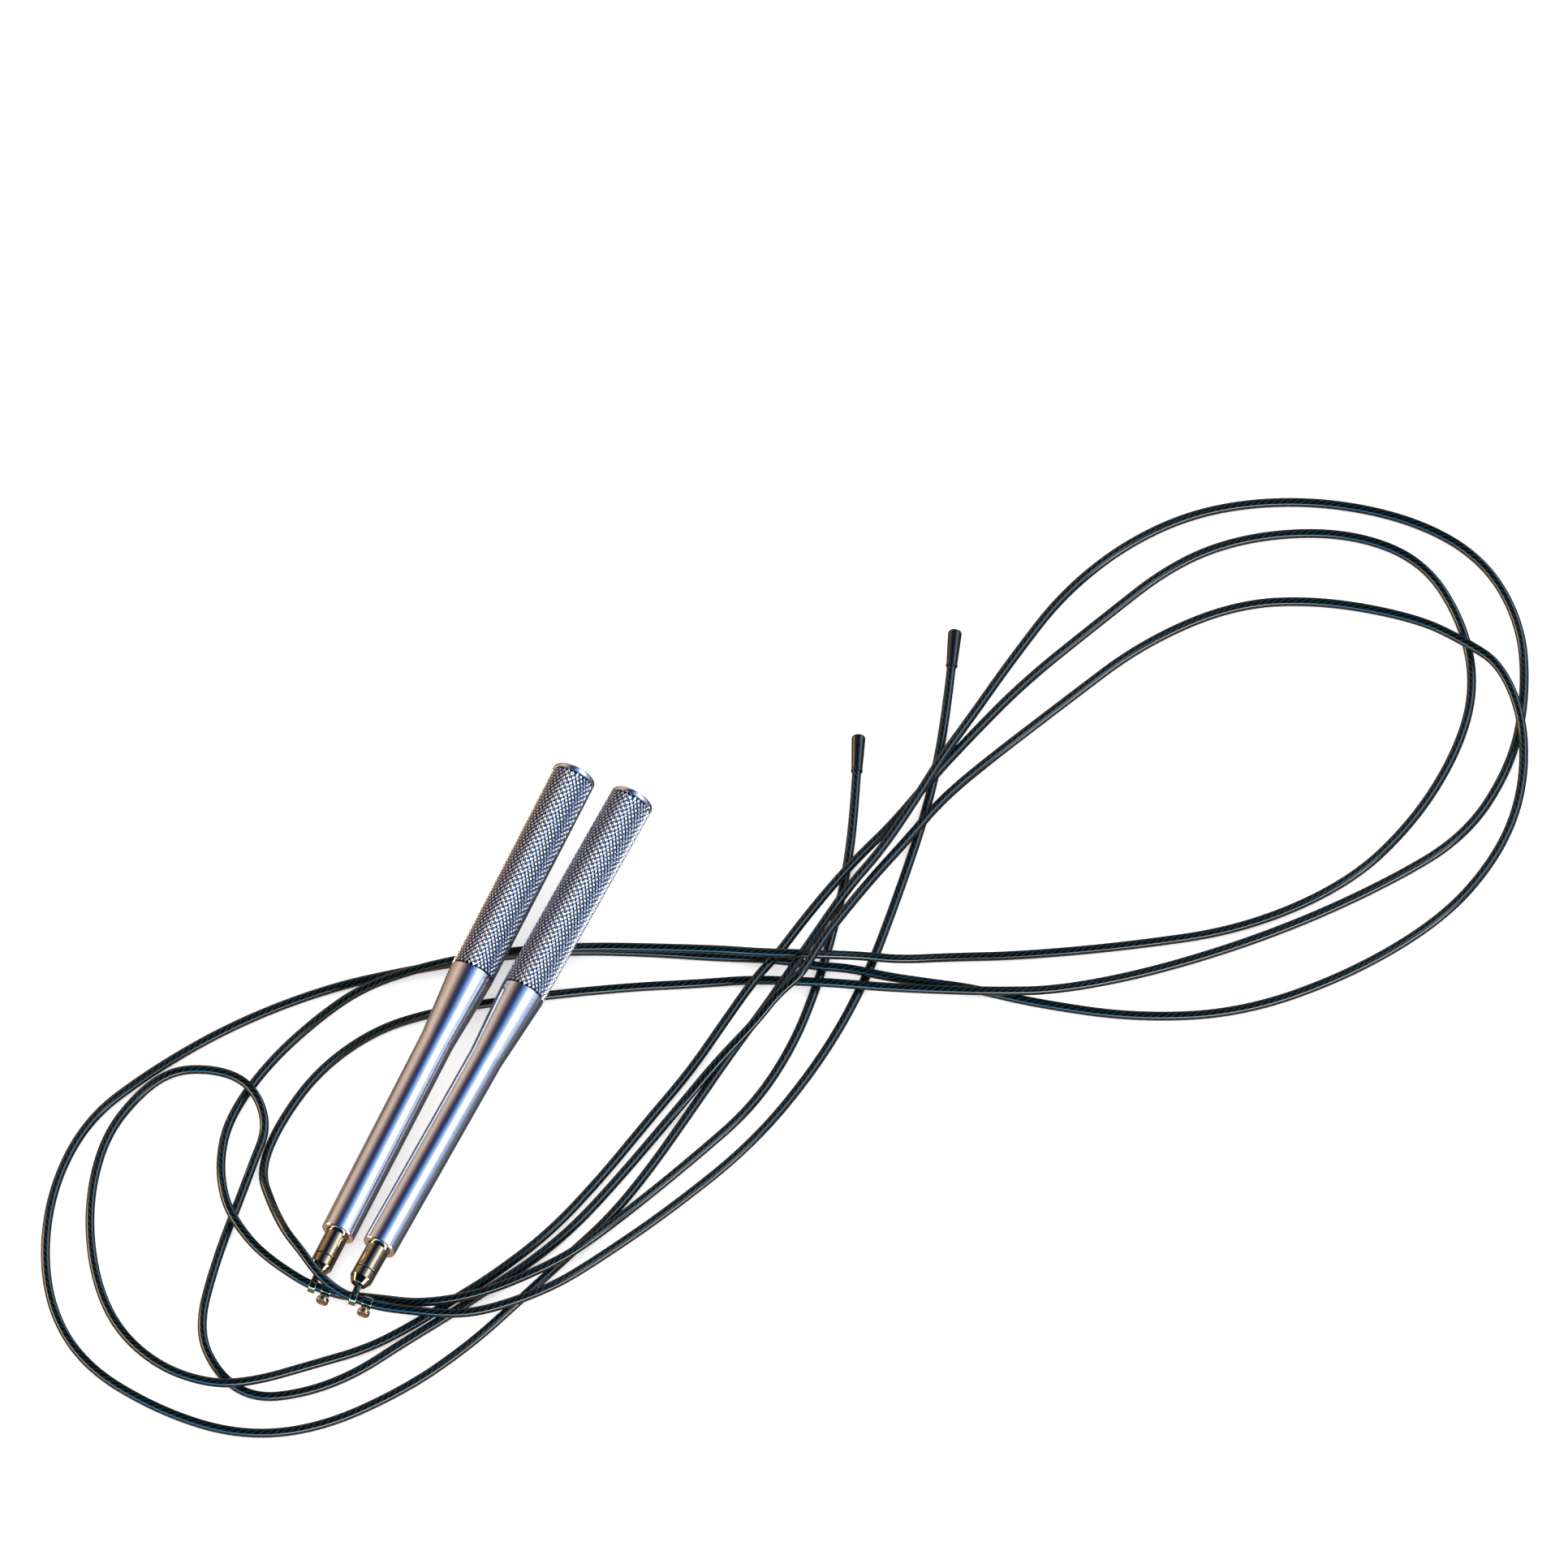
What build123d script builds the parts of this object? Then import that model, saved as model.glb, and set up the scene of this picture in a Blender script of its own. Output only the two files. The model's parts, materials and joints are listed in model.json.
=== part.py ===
"""Speed jump rope: two bored aluminium handles on ball bearings, each with a ball-jointed
eye, and one coated steel cable laid out in a loose figure of eight.

Millimetres. +Z is up and z = 0 is the surface that the rope lies on. The handles lie
side by side along Y, swivels towards -Y. Each handle's parts are turned about its own
line, which starts at the centre of the ball joint and runs towards the grip.
"""

import math
import os

from build123d import *

# Cable and its caps
CABLE_DIAMETER = 2.5
CAP_LENGTH, CAP_RADIUS, CAP_MOUTH_RADIUS, CAP_BORE_DEPTH = 11.0, 1.9, 1.5, 8.0
CAP_LIP_HEIGHT, CAP_LIP_WIDTH, CAP_LIP_LENGTH, CAP_TIP_ROUND = 0.1, 0.2, 0.6, 0.7

# Eye: a ball, a flat tongue and a ring round the cable
BALL_RADIUS = 1.95
EYE_REACH = 6.1  # ball centre to ring centre
EYE_WIDTH = 1.8
TONGUE_DEPTH = 1.7
RING_RADIUS, RING_BORE = 2.1, 1.42
NECK_START, NECK_OVERLAP = 1.2, 0.6  # where the tongue starts in the ball and ends in the ring

# Clamp and thumb screw, on the same straight stretch of cable as the eye
EYE_TO_CLAMP = 3.9
CLAMP_RADIUS, CLAMP_LENGTH, CLAMP_BORE = 1.7, 2.6, 1.33
SCREW_RADIUS, SCREW_HEAD_RADIUS, SCREW_HEAD_HEIGHT = 0.55, 1.7, 1.3
SCREW_HEAD_START = 2.65  # from the cable's centre line
SCREW_HEAD_EDGE, SCREW_FIT, SCREW_POINT = 0.3, 0.03, 0.02

# Swivel, as distances along the handle's line from the ball's centre
SOCKET_RIM, SOCKET_END = -1.9, 2.55
SWIVEL_RADIUS, SOCKET_RIM_RADIUS, SOCKET_MOUTH = 3.15, 2.1, 1.7
BALL_FIT, SOCKET_CHAMFER_END = 0.06, -0.05
NOSE_START, NOSE_RADIUS, NOSE_BORE, NOSE_GAP = 0.6, 2.5, 2.1, 0.15
SLEEVE_START = 2.85
FACE = 10.45  # the barrel's end face
SLEEVE_DEPTH, SHAFT_OVERHANG = 0.75, 4.0  # past the barrel's face, and past the bearings

# Handle body
BARREL_LENGTH, CONE_LENGTH, GRIP_LENGTH = 63.4, 21.6, 66.0
BARREL_RADIUS, CONE_END_RADIUS, GRIP_RADIUS = 4.7, 4.75, 6.15
FACE_OPENING, BORE_RADIUS, LIP, FACE_BEVEL = 3.3, 3.5, 1.55, 0.3
GRIP_EDGE, GRIP_EDGE_STEP, PLUG_LENGTH = 0.9, 0.25, 6.0

# Bearings, 3 x 7 x 3
SHAFT_RADIUS = 1.5
BEARING_WIDTH, RACE_IN, RACE_OUT = 3.0, 2.05, 2.95
BEARING_BALL_RADIUS, BEARING_BALLS = 0.42, 7
SPACER_LENGTH = 18.0

# What holds the bearings: a ring in the bore, and a washer and nut on the shaft
GROOVE_DEPTH, GROOVE_WIDTH, RING_PLAY, RING_GAP = 0.3, 0.6, 0.03, 2.0
RING_INWARDS, RING_OUTWARDS, RING_CLEARANCE = 0.45, 0.25, 0.1
WASHER_RADIUS, WASHER_THICKNESS = 2.7, 0.5
NUT_RADIUS, NUT_HEIGHT = 3.1, 2.6

# How each handle lies: height of its end face's lowest rim, and its rise to the grip
HANDLES = {
    "left": {"rim_height": 0.0, "rise": 4.3, "heading": 90.95},
    "right": {"rim_height": 0.7, "rise": 3.5, "heading": 89.05},
}

# The cable's route, from the long tail's cap to the short tail's
ROUTE = [
    # long tail: from its cap, down beside the crossing and round to the right clamp
    (62, 174, 2), (70, 153, 1.3), (78, 125.5, 1.3), (83, 96, 1.3), (87, 66, 1.3),
    (86.5, 38.5, 1.3), (81.5, 9.5, 1.3), (70.5, -18.5, 1.3), (60, -41.5, 2.5), (53, -55.5, 4),
    (41.5, -68.5, 4), (33, -74.5, 4), (20.5, -79, 4),
    # through the right eye and over the left swivel
    (13.5, -81.1, 3.9), (3.9, -82.4, 5), (-1.9, -81.7, 6.6), (-6.7, -79.7, 7.7),
    (-11.5, -76.9, 8.2), (-17, -73.8, 7.9), (-21, -70.5, 6.6),
    # left inner bend, under both handles and over the two tails
    (-26, -65.5, 4.2), (-34, -56.5, 1.3), (-36, -42, 1.3), (-34, -22, 1.3), (-26, -4, 1.3),
    (-14, 8.5, 1.3), (6.5, 23.5, 1.3), (30, 38.5, 1.3), (47, 48, 1.3), (58.5, 55, 1.3),
    (72, 59.5, 3.6), (80, 62.5, 4.2), (93, 67.5, 4), (106, 73, 4), (120, 79, 4.4),
    # outer turn of the right-hand loops
    (135.5, 88, 2.7), (156.5, 106, 1.3), (180, 130.5, 1.3), (199.5, 156.5, 1.3), (213, 180, 1.3),
    (214.5, 205, 1.3), (209, 226, 1.3), (198, 246.5, 1.3), (180, 260.5, 1.3), (157, 263.5, 1.3),
    (130, 257, 1.3), (106.5, 243, 1.3), (91.5, 224.5, 1.3), (82, 201.5, 1.3), (78.5, 176.5, 1.3),
    # diagonal back down, over the tail and the two level strands
    (77, 154.5, 3.4), (76, 137, 6.5), (75.5, 121.5, 7.1), (74, 104, 6.7), (71, 90, 6.2),
    (69.5, 75.5, 5.6), (68.5, 63, 5.9), (67, 48.5, 5), (64, 32, 1.9), (62, 11, 1.3), (60, -10, 1.3),
    (57, -28, 1.3), (52, -43.5, 1.3), (46.5, -61, 1.3), (40.5, -79.5, 1.3),
    # outer turn of the left-hand loops
    (31, -99.5, 1.3), (15.5, -120.5, 1.3), (-3, -132, 1.3), (-26.5, -134.5, 1.3),
    (-51.5, -130.5, 1.3), (-69.5, -115.5, 1.3), (-81.5, -90, 1.3), (-83.5, -63.5, 1.3),
    (-74.5, -42, 1.3), (-61, -19, 1.3), (-43.5, 2, 1.3), (-26.5, 16.5, 1.3), (-8.5, 30, 1.3),
    (10, 41.5, 1.3), (31, 51, 1.3),
    # level under the handles, over the tails and out to the right
    (46.5, 57, 1.3), (62.5, 64, 1.4), (73, 65, 4), (81.5, 68.5, 4), (91.5, 70.5, 4),
    (101.5, 74.5, 2.2), (114, 79, 1.3), (130.5, 82, 1.3), (157.5, 90, 1.3), (182.5, 104, 1.3),
    (203.5, 127.5, 1.3), (218.5, 154, 1.3), (223.5, 177, 2.1), (222, 196.5, 4), (213, 217, 4),
    # middle turn of the right-hand loops and the top of the crossing
    (199.5, 231, 4.2), (187.5, 233.5, 4), (171.5, 235.5, 2), (145.5, 229.5, 1.3), (125, 218, 1.3),
    (108, 196, 1.3), (97, 170, 1.3), (85.5, 142, 1.6), (81, 126, 4), (78.5, 112.5, 4),
    (75, 96.5, 4.2), (73.5, 78.5, 8.8), (73, 69, 11.2), (72.5, 57.5, 10.8), (69, 50.5, 9),
    (67, 41, 7), (62.5, 26, 4.9), (59, 12, 1.6),
    # down to the hook's outer side
    (54, -15, 1.3), (49.5, -35, 1.3), (43.5, -50.5, 1.3), (36.5, -63.5, 1.3), (31.5, -73.5, 1.3),
    (24, -87, 1.3), (16.5, -101.5, 1.3), (7, -112.5, 1.3), (-4.5, -120, 1.3), (-16.5, -117.5, 1.3),
    (-27.5, -107.5, 1.3), (-32.5, -86.5, 1.3), (-35.5, -64, 1.3),
    # the small hook and its own crossing
    (-36.5, -55, 3.1), (-37.5, -45.5, 4), (-43, -38, 4.2), (-50.5, -34, 4), (-59.5, -34.5, 3),
    (-69, -38.5, 1.3), (-74, -48.5, 1.3), (-76.5, -65, 1.3), (-71.5, -85, 1.3), (-61, -103.5, 1.3),
    (-48, -116.5, 1.5), (-32, -123, 2.8), (-16.5, -122.5, 4), (-6, -116.5, 4), (5.5, -104, 2.3),
    # back up beside the last diagonal
    (16, -93, 1.3), (24, -81, 1.3), (29.5, -70.5, 1.3), (36.5, -58, 1.3), (44.5, -39, 1.3),
    (49.5, -17.5, 1.3), (53, 3.5, 1.3), (56.5, 22.5, 1.3), (58.5, 39.5, 3.1), (60.5, 54.5, 4.8),
    (62.5, 63.5, 4.4), (64, 76.5, 4), (66.5, 91, 4), (69, 102, 3.8), (72.5, 114, 4),
    (75.5, 129.5, 4.4), (79, 147.5, 2.8),
    # inner turn of the right-hand loops
    (84.5, 171, 1.3), (94, 195.5, 1.3), (105, 223, 1.3), (120.5, 240, 1.3), (143, 252, 1.3),
    (165, 253, 1.3), (183, 240.5, 1.3), (195, 223.5, 1.3), (199.5, 203.5, 1.3), (198.5, 178.5, 1.3),
    (191, 153, 1.3), (171.5, 127.5, 1.3),
    # level on top of its neighbour, under the handles
    (145.5, 109, 1.3), (120.5, 93.5, 1.3), (103.5, 84.5, 1.6), (93, 77, 4), (83, 73, 4.8),
    (73.5, 67, 7.6), (67, 63.5, 8.8), (59, 60.5, 7.8), (47.5, 57.5, 5.4), (30, 50.5, 4),
    (15, 43.5, 4), (-5, 32, 4), (-21, 19.5, 4), (-33.5, 7, 3),
    # round to the left eye
    (-41, -6.5, 1.3), (-47, -25.5, 1.3), (-49, -45, 1.3), (-45, -59, 2.5), (-38, -70, 4.2),
    (-31, -75.5, 4), (-22, -80, 3.6),
    # through the left eye and clamp, under the right swivel
    (-8.3, -83.1, 3.9), (2, -81.9, 2.5), (6.3, -79.8, 1.4), (13, -77.3, 1.3),
    # short tail, up to its cap
    (23, -75.5, 3.8), (33.5, -68.5, 4.2), (42, -59.5, 4), (51.5, -46.5, 4), (56.5, -36.5, 4),
    (62, -21, 1.9), (69.5, -0.5, 1.3), (76.5, 20, 1.3), (78, 41.5, 1.3), (75.5, 62, 1.3),
    (72, 78.5, 1.3), (67.5, 96, 1.3), (60.5, 115.5, 1.3), (53, 133, 2),
]
# The runs of the route that go through an eye and its clamp, by their first points
RIGHT_RUN = (13.5, -81.1, 3.9)
LEFT_RUN = (-8.3, -83.1, 3.9)


def corner_radii(points):
    """0.45 of the shorter run beside each corner, over the tangent of half its turn."""
    radii = []
    for before, corner, after in zip(points, points[1:], points[2:]):
        run_in, run_out = corner - before, after - corner
        half_turn = math.radians(run_in.get_angle(run_out) / 2)
        radii.append(0.45 * min(run_in.length, run_out.length) / math.tan(half_turn))
    return radii


def turned(profile, place):
    """A closed outline of (radius, height) points, turned about a line and put in place."""
    face = make_face(Polyline([(r, 0, z) for r, z in profile], close=True))
    return place * revolve(face, Axis.Z)


def tube(inner, outer, start, end, place):
    return turned([(inner, start), (outer, start), (outer, end), (inner, end)], place)


def along(origin, direction, side=None):
    """A location whose Z runs along a direction."""
    return Plane(origin=origin, x_dir=side, z_dir=direction).location


def make_cable(points):
    radii = corner_radii(points)
    path = FilletPolyline(*points, radius=radii)
    section = Plane(origin=path @ 0, z_dir=path % 0) * Circle(CABLE_DIAMETER / 2)
    cable = sweep(section, path=path)
    exact = math.pi * (CABLE_DIAMETER / 2) ** 2 * path.length
    print("cable length", round(path.length, 1), "volume share", round(cable.volume / exact, 4))
    print("tightest radius", round(min(radii), 1), "all", [round(r) for r in radii])
    return cable


def make_cap(end, before):
    """A moulded cap, closed and rounded past the cable's end."""
    outwards = (end - before).normalized()
    place = along(end, outwards)
    mouth, tip = -CAP_BORE_DEPTH, CAP_LENGTH - CAP_BORE_DEPTH
    rim = CAP_MOUTH_RADIUS + CAP_LIP_HEIGHT
    bore = CABLE_DIAMETER / 2
    outline = [
        (bore, mouth),
        (rim, mouth),
        (rim, mouth + CAP_LIP_LENGTH),
        (CAP_MOUTH_RADIUS, mouth + CAP_LIP_LENGTH + CAP_LIP_WIDTH),
        (CAP_RADIUS, tip - CAP_TIP_ROUND),
        (CAP_RADIUS - CAP_LIP_WIDTH, tip - CAP_LIP_WIDTH),
        (CAP_RADIUS - CAP_TIP_ROUND, tip),
        (0, tip),
        (0, 0),
        (bore, 0),
    ]
    return turned(outline, place)


def make_eye(ball_centre, tongue_line, cable_line):
    """Ball, tongue and ring in one piece; local Z runs from the ring to the ball."""
    place = along(ball_centre, tongue_line, cable_line)
    neck_start = NECK_START
    neck_end = EYE_REACH - NECK_OVERLAP
    neck_centre = Pos(0, 0, -(neck_start + neck_end) / 2)
    neck = neck_centre * Box(EYE_WIDTH, TONGUE_DEPTH, neck_end - neck_start)
    ring = Pos(0, 0, -EYE_REACH) * Rot(Y=90) * Cylinder(RING_RADIUS, EYE_WIDTH)
    bore = Pos(0, 0, -EYE_REACH) * Rot(Y=90) * Cylinder(RING_BORE, 2 * EYE_WIDTH)
    return place * (Sphere(BALL_RADIUS) + neck + ring - bore)


def make_clamp(centre, cable_line, screw_line):
    collar = Cylinder(CLAMP_RADIUS, CLAMP_LENGTH) - Cylinder(CLAMP_BORE, CLAMP_LENGTH)
    hole_length = 3.0
    threaded = Rot(Y=90) * Pos(0, 0, hole_length / 2) * Cylinder(SCREW_RADIUS + SCREW_FIT, hole_length)
    return along(centre, cable_line, screw_line) * (collar - threaded)


def make_thumb_screw(centre, screw_line):
    head_end = SCREW_HEAD_START + SCREW_HEAD_HEIGHT
    edge = SCREW_HEAD_EDGE
    point = CLAMP_BORE + SCREW_POINT
    outline = [
        (0, point),
        (SCREW_RADIUS, point),
        (SCREW_RADIUS, SCREW_HEAD_START),
        (SCREW_HEAD_RADIUS - edge, SCREW_HEAD_START),
        (SCREW_HEAD_RADIUS, SCREW_HEAD_START + edge),
        (SCREW_HEAD_RADIUS, head_end - edge),
        (SCREW_HEAD_RADIUS - edge, head_end),
        (0, head_end),
    ]
    return turned(outline, along(centre, screw_line))


def make_socket_cap(place):
    """The outer ring of the ball joint, closed in round the ball."""
    cavity = BALL_RADIUS + BALL_FIT
    seat = -math.sqrt(cavity**2 - SOCKET_MOUTH**2)
    with BuildPart() as cap:
        with BuildSketch(Plane.XZ):
            with BuildLine():
                Polyline(
                    (SOCKET_MOUTH, seat),
                    (SOCKET_MOUTH, SOCKET_RIM),
                    (SOCKET_RIM_RADIUS, SOCKET_RIM),
                    (SWIVEL_RADIUS, SOCKET_CHAMFER_END),
                    (SWIVEL_RADIUS, SOCKET_END),
                    (NOSE_RADIUS, SOCKET_END),
                    (NOSE_RADIUS, NOSE_START),
                    (cavity, NOSE_START),
                    (cavity, 0),
                )
                CenterArc((0, 0), cavity, 0, -math.degrees(math.acos(SOCKET_MOUTH / cavity)))
            make_face()
        revolve(axis=Axis.Z)
    return place * cap.part


def make_spindle(place, stack_end):
    """Hollow nose behind the ball, bright sleeve, collar and long bearing shaft."""
    sleeve_end = FACE + SLEEVE_DEPTH
    floor = BALL_RADIUS + NOSE_GAP
    shaft_end = stack_end + SHAFT_OVERHANG
    outline = [
        (0, floor),
        (NOSE_BORE, floor),
        (NOSE_BORE, NOSE_START),
        (NOSE_RADIUS, NOSE_START),
        (NOSE_RADIUS, SLEEVE_START),
        (SWIVEL_RADIUS, SLEEVE_START),
        (SWIVEL_RADIUS, sleeve_end),
        (RACE_IN, sleeve_end),
        (RACE_IN, FACE + LIP),
        (SHAFT_RADIUS, FACE + LIP),
        (SHAFT_RADIUS, shaft_end),
        (0, shaft_end),
    ]
    return turned(outline, place)


def make_body(place, ring_start):
    """Barrel, cone and grip in one turned piece, bored from the grip's end."""
    cone_start = FACE + BARREL_LENGTH
    grip_start = cone_start + CONE_LENGTH
    end = grip_start + GRIP_LENGTH
    bore_start = FACE + LIP
    groove = BORE_RADIUS + GROOVE_DEPTH
    groove_end = ring_start + GROOVE_WIDTH
    outline = [
        (FACE_OPENING, FACE),
        (BARREL_RADIUS - FACE_BEVEL, FACE),
        (BARREL_RADIUS, FACE + FACE_BEVEL),
        (CONE_END_RADIUS, cone_start),
        (GRIP_RADIUS, grip_start),
        (GRIP_RADIUS, end - GRIP_EDGE),
        (GRIP_RADIUS - GRIP_EDGE_STEP, end - FACE_BEVEL),
        (GRIP_RADIUS - GRIP_EDGE, end),
        (BORE_RADIUS, end),
        (BORE_RADIUS, groove_end),
        (groove, groove_end),
        (groove, ring_start),
        (BORE_RADIUS, ring_start),
        (BORE_RADIUS, bore_start),
        (FACE_OPENING, bore_start),
    ]
    return turned(outline, place), end


def make_bearing(start, place):
    """Outer race, inner race and balls of one bearing."""
    middle = start + BEARING_WIDTH / 2
    pitch = (RACE_IN + RACE_OUT) / 2
    balls = [
        place * Rot(Z=360 * n / BEARING_BALLS) * Pos(pitch, 0, middle) * Sphere(BEARING_BALL_RADIUS)
        for n in range(BEARING_BALLS)
    ]
    outer = tube(RACE_OUT, BORE_RADIUS, start, start + BEARING_WIDTH, place)
    inner = tube(SHAFT_RADIUS, RACE_IN, start, start + BEARING_WIDTH, place)
    return outer, inner, Compound(children=balls)


def make_retaining_ring(start, place):
    inner = BORE_RADIUS - RING_INWARDS
    outer = BORE_RADIUS + RING_OUTWARDS
    ring = tube(inner, outer, start + RING_PLAY, start + GROOVE_WIDTH - RING_PLAY, place)
    middle = start + GROOVE_WIDTH / 2
    gap = place * Pos(BORE_RADIUS, 0, middle) * Box(4 * GROOVE_WIDTH, RING_GAP, 2 * GROOVE_WIDTH)
    return ring - gap


def make_locknut(start, place):
    outside = Pos(0, 0, start) * extrude(RegularPolygon(NUT_RADIUS, 6), NUT_HEIGHT)
    hole = Pos(0, 0, start + NUT_HEIGHT / 2) * Cylinder(SHAFT_RADIUS, 2 * NUT_HEIGHT)
    return place * (outside - hole)


def make_handle(side, run_start, run_end):
    """Every piece of one side, from the cable clamp to the grip's end."""
    pieces = {}
    lie = HANDLES[side]
    cable_line = (run_start - run_end).normalized()
    if cable_line.X < 0:
        cable_line = -cable_line
    middle = (run_start + run_end) / 2
    eye = middle - cable_line * (EYE_TO_CLAMP / 2)
    clamp = middle + cable_line * (EYE_TO_CLAMP / 2)

    # The ball's centre is where the handle's line and the tongue meet.
    heading, rise = math.radians(lie["heading"]), math.radians(lie["rise"])
    handle_line = Vector(
        math.cos(rise) * math.cos(heading), math.cos(rise) * math.sin(heading), math.sin(rise)
    )
    lowest_rim = BARREL_RADIUS * math.cos(rise) - FACE_BEVEL * math.sin(rise)
    face_height = lie["rim_height"] + lowest_rim
    ball_height = face_height - FACE * math.sin(rise)
    level = Vector(-cable_line.Y, cable_line.X, 0).normalized()
    upright = cable_line.cross(level)
    tongue_tilt = math.asin((ball_height - eye.Z) / EYE_REACH / upright.Z)
    tongue_line = level * math.cos(tongue_tilt) + upright * math.sin(tongue_tilt)
    ball = eye + tongue_line * EYE_REACH
    print(side, "ball", ball, "eye", eye, "clamp", clamp, "cable line", cable_line)
    print(side, "handle line", handle_line, "tongue tilt", math.degrees(tongue_tilt))

    place = along(ball, handle_line)
    screw_line = (-level).normalized()
    front = FACE + LIP
    rear = front + BEARING_WIDTH + SPACER_LENGTH
    stack_end = rear + BEARING_WIDTH

    pieces["eye"] = make_eye(ball, tongue_line, cable_line)
    pieces["clamp_collar"] = make_clamp(clamp, cable_line, screw_line)
    pieces["thumb_screw"] = make_thumb_screw(clamp, screw_line)
    pieces["socket_cap"] = make_socket_cap(place)
    pieces["spindle"] = make_spindle(place, stack_end)
    ring_start = stack_end + RING_CLEARANCE
    pieces["handle_body"], end = make_body(place, ring_start)
    for name, start in (("front", front), ("rear", rear)):
        outer, inner, balls = make_bearing(start, place)
        pieces[name + "_outer_race"] = outer
        pieces[name + "_inner_race"] = inner
        pieces[name + "_bearing_balls"] = balls
    spaced = front + BEARING_WIDTH
    pieces["bearing_spacer"] = tube(RACE_OUT, BORE_RADIUS, spaced, rear, place)
    pieces["shaft_spacer"] = tube(SHAFT_RADIUS, RACE_IN, spaced, rear, place)
    pieces["retaining_ring"] = make_retaining_ring(ring_start, place)
    nut_start = stack_end + WASHER_THICKNESS
    pieces["washer"] = tube(SHAFT_RADIUS, WASHER_RADIUS, stack_end, nut_start, place)
    pieces["locknut"] = make_locknut(nut_start, place)
    plug_start = end - PLUG_LENGTH
    plug = [(0, plug_start), (BORE_RADIUS, plug_start), (BORE_RADIUS, end), (0, end)]
    pieces["end_plug"] = turned(plug, place)
    print(side, "grip end", ball + handle_line * end)
    return {f"{side}_{name}": piece for name, piece in pieces.items()}


def main():
    os.makedirs("parts", exist_ok=True)
    points = [Vector(*point) for point in ROUTE]
    parts = {"cable": make_cable(points)}
    parts["long_tail_cap"] = make_cap(points[0], points[1])
    parts["short_tail_cap"] = make_cap(points[-1], points[-2])
    for side, first in (("left", LEFT_RUN), ("right", RIGHT_RUN)):
        n = ROUTE.index(first)
        parts.update(make_handle(side, points[n], points[n + 1]))
    for name, part in parts.items():
        export_step(part, os.path.join("parts", name + ".step"))


main()
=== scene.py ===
"""A speed jump rope: a coated wire cable laid in a loose figure of eight, with two knurled handles.

Lengths named in capitals are millimetres, and MM turns them into the scene's metres.
"""

import json
import math

import bmesh
import bpy
from mathutils import Matrix, Vector


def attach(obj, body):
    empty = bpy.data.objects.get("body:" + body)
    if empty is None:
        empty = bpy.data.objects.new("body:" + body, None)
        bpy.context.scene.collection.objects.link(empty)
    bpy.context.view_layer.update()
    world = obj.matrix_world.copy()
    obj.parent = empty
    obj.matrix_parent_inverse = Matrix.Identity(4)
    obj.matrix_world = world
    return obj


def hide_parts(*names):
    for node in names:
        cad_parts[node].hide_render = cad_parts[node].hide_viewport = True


bl_info = {
    "name": "Speed Jump Rope",
    "version": (1, 0, 0),
    "blender": (4, 5, 0),
    "location": "3D View > Sidebar > Jump Rope",
    "description": "Builds a jump rope with knurled handles on its packed frame",
    "category": "Add Mesh",
}

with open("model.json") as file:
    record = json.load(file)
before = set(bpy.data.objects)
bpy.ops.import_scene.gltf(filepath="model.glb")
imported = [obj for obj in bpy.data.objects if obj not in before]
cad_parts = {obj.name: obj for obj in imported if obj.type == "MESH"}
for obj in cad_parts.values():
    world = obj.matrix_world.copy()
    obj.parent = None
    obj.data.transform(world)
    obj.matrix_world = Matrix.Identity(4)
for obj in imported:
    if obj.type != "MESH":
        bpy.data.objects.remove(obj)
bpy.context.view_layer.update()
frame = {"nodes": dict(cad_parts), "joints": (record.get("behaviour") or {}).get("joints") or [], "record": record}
JOINTS = {joint["name"]: joint for joint in frame["joints"]}

MM = 0.001
SIDES = ("left", "right")

# Cable and its end caps
CABLE_DIAMETER = 2.5
CAP_LENGTH, CAP_RADIUS, CAP_MOUTH_RADIUS, CAP_BORE_DEPTH = 11.0, 1.9, 1.5, 8.0
CAP_LIP, CAP_LIP_LENGTH, CAP_LIP_SLOPE = 0.1, 0.6, 0.2
CAP_CROWN, CAP_CROWN_EDGE = 0.7, 0.2
STRANDS = 6

# Eye, clamp and thumb screw
BALL_RADIUS, EYE_REACH, EYE_WIDTH, TONGUE_DEPTH = 1.95, 6.1, 1.8, 1.7
RING_RADIUS, RING_BORE = 2.1, 1.42
CLAMP_RADIUS, CLAMP_LENGTH, CLAMP_BORE = 1.7, 2.6, 1.33
SCREW_RADIUS, SCREW_HEAD_RADIUS, SCREW_HEAD_HEIGHT, SCREW_HEAD_START = 0.55, 1.7, 1.3, 2.65
SCREW_DISH_DEPTH, SCREW_RIM, SCREW_DISH_SLOPE, SCREW_GAP = 0.12, 0.45, 0.15, 0.02
PLATE_EDGE = 0.12  # broken edge of the eye's plate
PLATE_END = 1.2  # from the ball's centre back to the plate's end, which lies inside the ball

# Swivel and handle, as distances along the handle's line from the ball's centre
SOCKET_RIM, SOCKET_END, SWIVEL_RADIUS, SOCKET_RIM_RADIUS, SOCKET_MOUTH = -1.9, 2.55, 3.15, 2.1, 1.7
NOSE_START, NOSE_RADIUS, NOSE_BORE, SLEEVE_START = 0.6, 2.5, 2.1, 2.85
FACE, BARREL_LENGTH, CONE_LENGTH, GRIP_LENGTH = 10.45, 63.4, 21.6, 66.0
BARREL_RADIUS, CONE_END_RADIUS, GRIP_RADIUS = 4.7, 4.75, 6.15
FACE_OPENING, BORE_RADIUS, LIP, RACE_IN, SHAFT_RADIUS = 3.3, 3.5, 1.55, 2.05, 1.5
SHAFT_END = 40.0
SOCKET_CLEARANCE, NOSE_CLEARANCE, SOCKET_SLOPE_END, SHOULDER = 0.06, 0.15, -0.05, 0.75
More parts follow.
